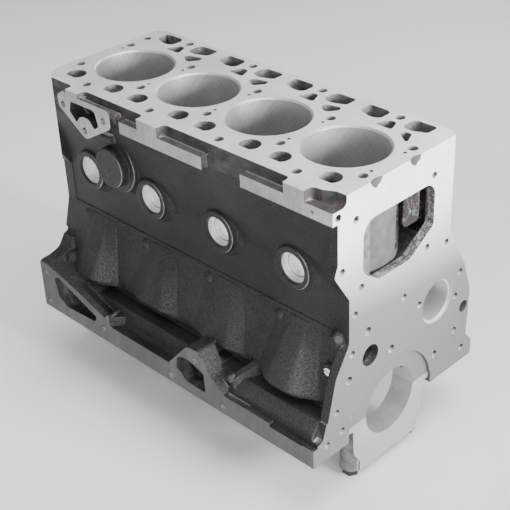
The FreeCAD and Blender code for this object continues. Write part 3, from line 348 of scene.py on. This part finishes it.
def painted_look(g):
    """Dark semi-gloss paint over sand-cast iron, with painted highlights: pale grain on the lit
    flanks of the swells and pale outer rims on the rings.
    """
    sand = g.noise(scale=560.0, detail=5.0, rough=0.7)
    lumps = g.noise(scale=60.0, detail=3.0, rough=0.5)
    cloud = g.noise(scale=9.0, detail=3.0, rough=0.5) * 0.5 + sand * 0.5
    specks = g.ramp(g.cells(420.0), 0.05, 0.12, 1.0, 0.0) * g.ramp(g.noise(scale=130.0), 0.55, 0.62)
    colour = g.mix(g.ramp(cloud, 0.40, 0.60), grey(0.002), grey(0.026))

    # Painted highlight: pale grain on the flanks of the swells that face the front end and its
    # lamps
    grain = g.ramp(g.noise(scale=620.0, detail=3.0, rough=0.7), 0.44, 0.60)
    lit_flank = g.ramp(g.nx, 0.05, 0.40) * g.ramp(g.z, 0.05, 0.16, 1.0, 0.3)
    colour = g.mix(grain * lit_flank * 0.42, colour, grey(0.22))

    # Painted highlight on the outer edges of the core plug rings and the blank boss
    slope = length(g, g.nx, g.nz)
    edge = g.ramp(slope, 0.16, 0.32) * g.ramp(slope, 0.50, 0.60, 1.0, 0.0)
    rim = edge * g.ramp(g.nx, 0.10, 0.30)
    rim = rim * g.ramp(g.z, 0.165, 0.180) * g.ramp(g.z, 0.250, 0.258, 1.0, 0.0)
    colour = g.mix(rim * g.ramp(sand, 0.35, 0.60, 0.4, 1.0), colour, grey(0.55))

    colour = g.mix(specks * 0.5, colour, grey(0.35))
    rough = g.ramp(sand, 0.3, 0.7, 0.30, 0.50)
    shine = g.ramp(sand, 0.38, 0.62, 0.20, 0.62)
    return Look(colour, rough, metal=0.0, height=sand * 0.0016 + lumps * 0.0010, shine=shine)


def raw_look(g, dark, light, depth):
    """Bare sand-cast iron."""
    sand = g.noise(scale=520.0, detail=5.0, rough=0.65)
    lumps = g.noise(scale=75.0, detail=3.0, rough=0.55)
    share = g.ramp(lumps * 0.6 + sand * 0.4, 0.38, 0.62)
    colour = g.mix(share, grey(dark), grey(light, warm=0.003))
    height = (sand * 0.0006 + lumps * 0.0012) * depth
    return Look(colour, g.ramp(sand, 0.3, 0.7, 0.5, 0.75), metal=0.25, height=height, shine=0.5)


def milled_look(g, dark, light, stretch, streak):
    """Machined iron: faint stains, and cutter streaks along the short axis of the stretch."""
    mill = g.noise(scale=90.0, detail=3.0, rough=0.6, stretch=stretch)
    fine = g.noise(scale=900.0, detail=2.0, rough=0.5)
    stain = g.noise(scale=13.0, detail=4.0, rough=0.6)
    colour = g.mix(g.ramp(stain, 0.3, 0.75), grey(dark), grey(light, warm=0.002))
    colour = g.mix(g.ramp(mill, 0.4, 0.7) * streak, colour, grey(dark * 0.55))
    rough = g.ramp(mill * 0.6 + fine * 0.4, 0.35, 0.65, 0.40, 0.54)
    return Look(colour, rough, metal=0.45, height=mill * 0.00003 + fine * 0.00002, shine=0.5)


def scratches(g, along, across):
    """Fine lines along one direction, from the place along it and the place across it."""
    return g.noise(scale=1.0, detail=3.0, rough=0.6, place=g.vector(across * 900.0, along * 14.0))


def honed_look(g, along):
    """Cylinder bores with two crossing sets of fine helical scratches."""
    around = g.math("ARCTAN2", g.y, along) * BORE_R
    climb = g.z * 0.7
    rising = scratches(g, along=around - climb, across=around + climb)
    falling = scratches(g, along=around + climb, across=around - climb)
    patch = g.noise(scale=22.0, detail=2.0, rough=0.5)
    hatch = g.ramp(rising * 0.5 + falling * 0.5, 0.4, 0.6)
    colour = g.mix(hatch * 0.6 + g.ramp(patch, 0.3, 0.7) * 0.4, grey(0.36), grey(0.64))
    rough = g.ramp(hatch, 0.0, 1.0, 0.34, 0.46)
    return Look(colour, rough, metal=0.75, height=hatch * 0.00001, shine=0.5)


def tapped_look(g, dark, light):
    """Drilled holes with a trace of their threads, with painted light and shade: brighter where
    their walls face up, darker where they face down.
    """
    turns = g.math("SINE", (g.x + g.y + g.z) * 4200.0)
    # Painted light and shade, set by the way each wall faces
    lit_upward = g.ramp(g.nz + g.ny * 0.6 + turns * 0.08, -0.45, 0.6)
    colour = g.mix(lit_upward, grey(dark), grey(light))
    return Look(colour, rough=0.36, metal=0.15, height=turns * 0.00012, shine=0.5)


def lined_look(g, look, scale, width, share, line):
    """A look with thin winding lines, where a noise crosses its middle."""
    ridges = g.ramp(abs(g.noise(scale, detail=2.0, rough=0.5) - 0.5), 0.0, width, 1.0, 0.0)
    return look._replace(colour=g.mix(ridges * share, look.colour, grey(line)))


def machined_masks(g, from_bore):
    """Milled and turned faces of the block."""
    x, y, z = g.x, g.y, g.z
    masks = {}
    deck = (z > DECK_Z - SKIN) * (g.nz > FACING)
    rear = (x < REAR_X + END_SKIN) * (g.nx < -FACING)
    journal = length(g, y, z) < JOURNAL_R
    cam = radial(g, y, z, CAM_Y, CAM_Z) < CAM_R
    masks["faced"] = deck | rear | journal | cam
    front = (x > FRONT_X - END_SKIN) * (g.nx > FACING)
    in_recess = (x > FRONT_X - RECESS_DEPTH) * (radial(g, y, z, RECESS_Y, RECESS_Z) < RECESS_R)
    masks["end"] = front | (in_recess * (g.nx > FACING))
    idler = (x > IDLER_X) * (radial(g, y, z, IDLER_Y, IDLER_Z) < IDLER_R) * (g.nx < FACING)
    masks["cut"] = (g.within(NOTCHES) * (g.nz < FACING)) | idler
    masks["rail"] = (z < RAIL_Z + SKIN) | ((y < RAIL_Y + SKIN) * (g.ny < -FACING))
    masks["strip"] = g.within(STRIPS) * (g.ny < -FACING)
    masks["bore"] = (from_bore < BORE_R + BORE_SKIN) * g.within(BORES)
    return masks


def hole_masks(g):
    """Drilled holes, found as narrow places by how little of their surroundings is open."""
    x, y, z = g.x, g.y, g.z
    close = g.openness(HOLE_REACH)
    across_x = abs(g.nx) < ASIDE
    across_y = abs(g.ny) < ASIDE
    front = g.within(FRONT_HOLES) * across_x * (close < FRONT_OPEN)
    deep = g.within(DEEP_HOLES) * across_x * (close < DEEP_OPEN)
    side = g.within(SIDE_HOLES) * across_y * (close < SIDE_OPEN)
    flange = g.within(FLANGE_HOLES) * across_y * (close < FLANGE_OPEN)
    between = g.math("FLOORED_MODULO", x + 0.5 * PITCH, PITCH)
    paired = radial(g, between, abs(y), 0.5 * PITCH, PAIRED_HOLE_Y) < DECK_HOLE_R
    outer = abs(y - EDGE_HOLE_SHIFT)
    edge = radial(g, from_cylinder(g, shift=1.0), outer, 0.0, EDGE_HOLE_Y) < DECK_HOLE_R
    gallery = (radial(g, y, z, GALLERY_Y, GALLERY_Z) < GALLERY_R) * (x > GALLERY_X)
    return {
        "holes": front | deep | side | flange,
        "deck_holes": (paired | edge) * g.within(DECK_HOLES) * (abs(g.nz) < FACING),
        "gallery": gallery * (g.nx < FACING),
    }


def cast_masks(g, from_bore):
    """Painted outside and the regions of raw casting that look unlike the rest."""
    near_wall = g.curve(g.z, NEAR_WALL)
    far_wall = g.curve(g.z, FAR_WALL)
    corners = (g.y > CORNER_Y) * (abs(g.x - CORNER_X) > CORNER_REACH)
    in_pads = g.within(REAR_PAD) | g.within(MIDDLE_PAD)
    return {
        "painted": (g.y < near_wall) | (g.y > far_wall) | corners | (g.x < REAR_X + REAR_EDGE),
        "barrel": (from_bore < BARREL_R + BARREL_SKIN) * g.within(BARRELS) * (abs(g.nz) < UPRIGHT),
        "mouth": g.within(MOUTH) * (abs(g.nx) < MOUTH_FACING),
        "column": g.within(COLUMN),
        "scoop": g.within(SCOOP),
        "channel": g.within(CHANNEL),
        # Painted light in the deep, shaded parts of the pad pockets
        "pocket": in_pads * (g.openness(POCKET_REACH) < POCKET_OPEN),
    }


def shaded_front_look(g):
    """The front face, with painted shade: brightest at its top and greyer towards its foot."""
    ground = milled_look(g, dark=0.74, light=0.93, stretch=DOWN_FRONT, streak=0.25)
    # Painted shade: the colour greys towards the foot of the face
    height = g.ramp(g.z + g.y * 0.12, 0.15, 0.255)
    return ground._replace(colour=g.mix(height, grey(0.22), ground.colour))


def block_material():
    """Machined faces, honed bores, rough raw casting inside and dark paint outside."""
    g = Graph("block_casting")
    along = from_cylinder(g)
    from_bore = length(g, along, g.y)
    masks = machined_masks(g, from_bore)
    masks.update(hole_masks(g))
    masks.update(cast_masks(g, from_bore))

    # The column in the water mouth: raw casting darkened as painted shade, with pale winding lines
    # as painted highlights
    column_shade_and_glints = raw_look(g, dark=0.008, light=0.024, depth=1.4)
    column_shade_and_glints = lined_look(g, column_shade_and_glints, scale=60.0, width=0.014, share=0.6, line=0.3)
    lip = raw_look(g, dark=0.05, light=0.45, depth=3.0)
    lip = lined_look(g, lip, scale=170.0, width=0.09, share=0.9, line=0.015)
    layers = [
        ("barrel", raw_look(g, dark=0.075, light=0.12, depth=0.3)),
        ("column", column_shade_and_glints),
        ("painted", painted_look(g)),
        ("mouth", lip),
        ("scoop", raw_look(g, dark=0.018, light=0.075, depth=1.2)),
        ("channel", raw_look(g, dark=0.03, light=0.09, depth=1.0)),
        # Painted light: deep in the pad pockets, where shade falls, bare casting stands lighter
        # than the paint around it
        ("pocket", raw_look(g, dark=0.015, light=0.16, depth=1.5)),
        ("rail", milled_look(g, dark=0.075, light=0.12, stretch=DOWN_RAIL, streak=0.4)),
        ("strip", milled_look(g, dark=0.32, light=0.58, stretch=DOWN_STRIP, streak=0.35)),
        ("faced", milled_look(g, dark=0.54, light=0.74, stretch=ACROSS_FACE, streak=0.22)),
        ("cut", raw_look(g, dark=0.02, light=0.06, depth=0.2)),
        ("end", shaded_front_look(g)),
        ("bore", honed_look(g, along)),
        ("holes", tapped_look(g, dark=0.02, light=0.98)),
        ("deck_holes", tapped_look(g, dark=0.20, light=0.50)),
        ("gallery", milled_look(g, dark=0.10, light=0.20, stretch=ALONG_X, streak=0.5)),
    ]
    look = raw_look(g, dark=0.06, light=0.22, depth=1.0)
    for name, over in layers:
        look = g.layer(masks[name], look, over)
    smooth = masks["rail"]
    for name in ("strip", "faced", "end", "cut", "bore", "holes", "deck_holes"):
        smooth = smooth | masks[name]
    return g.finish(look, g.mix(smooth, CAST_EDGE, MILLED_EDGE))


def cap_material():
    """Rough casting with milled cheeks and a bored seat."""
    g = Graph("cap_casting")
    milled = (abs(g.nx) > CHEEK_FACING) | (length(g, g.y, g.z) < JOURNAL_R)
    look = raw_look(g, dark=0.06, light=0.24, depth=0.9)
    cheeks = milled_look(g, dark=0.42, light=0.55, stretch=ACROSS_FACE, streak=0.25)
    look = g.layer(milled, look, cheeks)
    return g.finish(look, g.mix(milled, CAP_CAST_EDGE, CAP_MILLED_EDGE))


def metal_material(name, dark, light, rough, grain, depth):
    """Plain bare or plated metal with a fine grain."""
    g = Graph(name)
    fine = g.noise(grain, detail=4.0, rough=0.6)
    cloud = g.noise(scale=40.0, detail=2.0, rough=0.5)
    share = g.ramp(cloud * 0.5 + fine * 0.5, 0.35, 0.65)
    colour = g.mix(share, grey(dark, warm=-0.004), grey(light, warm=-0.004))
    polish = g.ramp(fine, 0.3, 0.7, rough - 0.06, rough + 0.08)
    look = Look(colour, polish, metal=0.9, height=fine * depth, shine=0.5)
    return g.finish(look, METAL_EDGE)


def plug_material():
    """Pressed cups in plated steel, each with a stepped ring inside its rim and a line of painted
    shade along the step.
    """
    g = Graph("pressed_cups")
    fine = g.noise(scale=900.0, detail=4.0, rough=0.6)
    out = radial(g, from_cylinder(g), g.z, 0.0, PLUG_Z)
    # Painted shade: a dark line where the step falls in shade
    step_shade_line = g.ramp(abs(out - PLUG_STEP_R), 0.0003, 0.0010, 1.0, 0.0)
    rough = g.ramp(out, 0.0, PLUG_STEP_R, 0.26, 0.34)
    plate = g.mix(g.ramp(fine, 0.35, 0.65), grey(0.82), grey(0.97))
    rise = g.ramp(out, PLUG_STEP_R - 0.0012, PLUG_STEP_R + 0.0006, 0.0, 0.0012)
    look = Look(g.mix(step_shade_line * 0.9, plate, grey(0.12)), rough, metal=0.7,
                height=rise + fine * 0.00003, shine=0.5)
    return g.finish(look, METAL_EDGE)


def floor_material():
    """Pale, matt and nearly even."""
    g = Graph("studio_floor")
    cloud = g.noise(scale=3.0, detail=2.0, rough=0.5)
    colour = g.mix(g.ramp(cloud, 0.3, 0.7), grey(0.92), grey(0.94))
    rough = g.ramp(cloud, 0.3, 0.7, 0.75, 0.8)
    look = Look(colour, rough, metal=0.0, height=cloud * 0.0001, shine=0.2)
    return g.finish(look, FLOOR_EDGE)


def numbered(name, count):
    return ["%s_%d" % (name, i) for i in range(1, count + 1)]


def give(nodes, material):
    for node in nodes:
        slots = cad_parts[node].data.materials
        slots.clear()
        slots.append(material)


def set_materials():
    give(["cylinder_block"], block_material())
    give(numbered("main_cap", MAIN_CAPS), cap_material())
    plated = metal_material("plated_steel", dark=0.66, light=0.86, rough=0.26,
                            grain=900.0, depth=0.00003)
    bolt = metal_material("dark_steel", dark=0.035, light=0.10, rough=0.42,
                          grain=1200.0, depth=0.00004)
    bush = metal_material("turned_steel", dark=0.88, light=0.98, rough=0.4,
                          grain=1500.0, depth=0.00002)
    give(["main_cap_bolts"], bolt)
    give(["cap_ring_dowels", "cam_bush", "rear_dowels"], bush)
    give(["rear_core_plug", "rear_cam_plug", "side_oil_plug", "rear_gallery_plug"], plated)
    give(numbered("core_plug", CORE_PLUGS), plug_material())


def add_floor():
    bpy.ops.mesh.primitive_plane_add(size=FLOOR_SIZE, location=(0, 0, FLOOR_Z))
    floor = bpy.context.object
    floor.name = "studio_floor"
    floor.data.materials.append(floor_material())


set_camera()
set_light()
set_materials()
add_floor()
